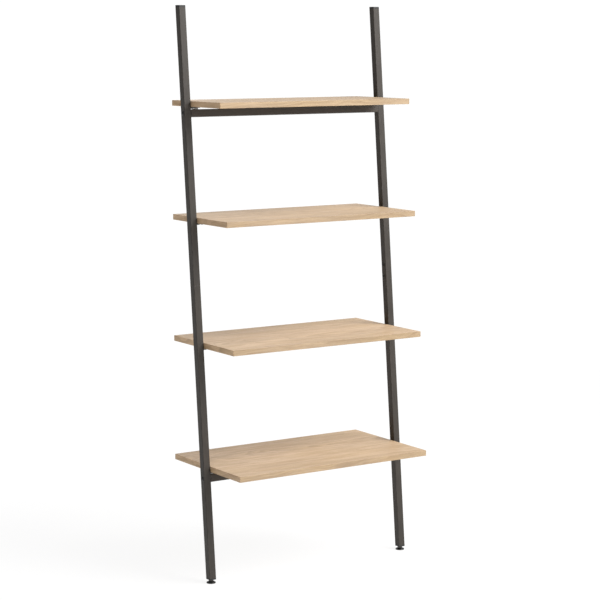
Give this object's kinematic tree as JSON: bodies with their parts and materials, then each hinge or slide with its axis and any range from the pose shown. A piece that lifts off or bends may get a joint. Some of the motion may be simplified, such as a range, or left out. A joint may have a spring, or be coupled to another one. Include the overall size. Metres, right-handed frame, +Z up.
{
  "type": "ladder shelf",
  "caption": "Leaning ladder shelf: oak boards, deeper towards the floor, between two dark square-tube posts with crossbars, end caps and screw-in levelling feet.",
  "frame": {"origin": "on the floor, in the middle of the footprint's box: half-way between the posts and half-way between the wall and the bottom board's front edge", "axes": "+Z up, +Y from the front towards the wall, +X to the right seen from the front"},
  "size_m": [0.6458, 0.34, 1.52],
  "materials": {
    "oak_board": "light oak, matt lacquer",
    "oak_edging": "oak edging, matt lacquer",
    "graphite_steel": "graphite powder coat, fine texture, satin",
    "black_plastic": "moulded, matt",
    "foot_plastic": "moulded, semi-gloss",
    "black_screws": "black oxide",
    "zinc_steel": "zinc plated"
  },
  "bodies": {
    "frame": {"board_1_core": "oak_board", "board_1_edging": "oak_edging", "board_2_core": "oak_board", "board_2_edging": "oak_edging", "board_3_core": "oak_board", "board_3_edging": "oak_edging", "board_4_core": "oak_board", "board_4_edging": "oak_edging", "post_lower_left": "graphite_steel", "post_lower_right": "graphite_steel", "post_upper_left": "graphite_steel", "post_upper_right": "graphite_steel", "post_sleeve_left": "zinc_steel", "post_sleeve_right": "zinc_steel", "sleeve_screws": "black_screws", "post_cap_left": "black_plastic", "post_cap_right": "black_plastic", "foot_insert_left": "black_plastic", "foot_insert_right": "black_plastic", "crossbar_bottom": "graphite_steel", "crossbar_top": "graphite_steel", "crossbar_plug_bottom_left": "zinc_steel", "crossbar_plug_bottom_right": "zinc_steel", "crossbar_plug_top_left": "zinc_steel", "crossbar_plug_top_right": "zinc_steel", "crossbar_bolts": "black_screws", "tab_1_left": "graphite_steel", "tab_1_right": "graphite_steel", "tab_2_left": "graphite_steel", "tab_2_right": "graphite_steel", "tab_3_left": "graphite_steel", "tab_3_right": "graphite_steel", "tab_4_left": "graphite_steel", "tab_4_right": "graphite_steel", "tab_screws": "zinc_steel", "wall_bracket_left": "zinc_steel", "wall_bracket_right": "zinc_steel", "wall_bracket_screws": "zinc_steel"},
    "foot_left": {"foot_pad_left": "foot_plastic"},
    "foot_left_stud": {"foot_stem_left": "foot_plastic"},
    "foot_right": {"foot_pad_right": "foot_plastic"},
    "foot_right_stud": {"foot_stem_right": "foot_plastic"}
  },
  "joints": [
    {"name": "foot_left_height", "type": "slide", "parent": "frame", "child": "foot_left", "axis": [0, 0, -1], "range_m": [-0.0045, 0.01]},
    {"name": "foot_left_turn", "type": "hinge", "parent": "foot_left", "child": "foot_left_stud", "pos_m": [-0.31, -0.03655, 0.01], "axis": [0, 0, -1], "range_deg": [-1297, 2881]},
    {"name": "foot_right_height", "type": "slide", "parent": "frame", "child": "foot_right", "axis": [0, 0, -1], "range_m": [-0.0045, 0.01]},
    {"name": "foot_right_turn", "type": "hinge", "parent": "foot_right", "child": "foot_right_stud", "pos_m": [0.31, -0.03655, 0.01], "axis": [0, 0, -1], "range_deg": [-1297, 2881]}
  ],
  "couplings": [
    {"joint": "foot_left_turn", "follows": "foot_left_height", "rad_per_m": 5026.5},
    {"joint": "foot_right_turn", "follows": "foot_right_height", "rad_per_m": 5026.5}
  ]
}
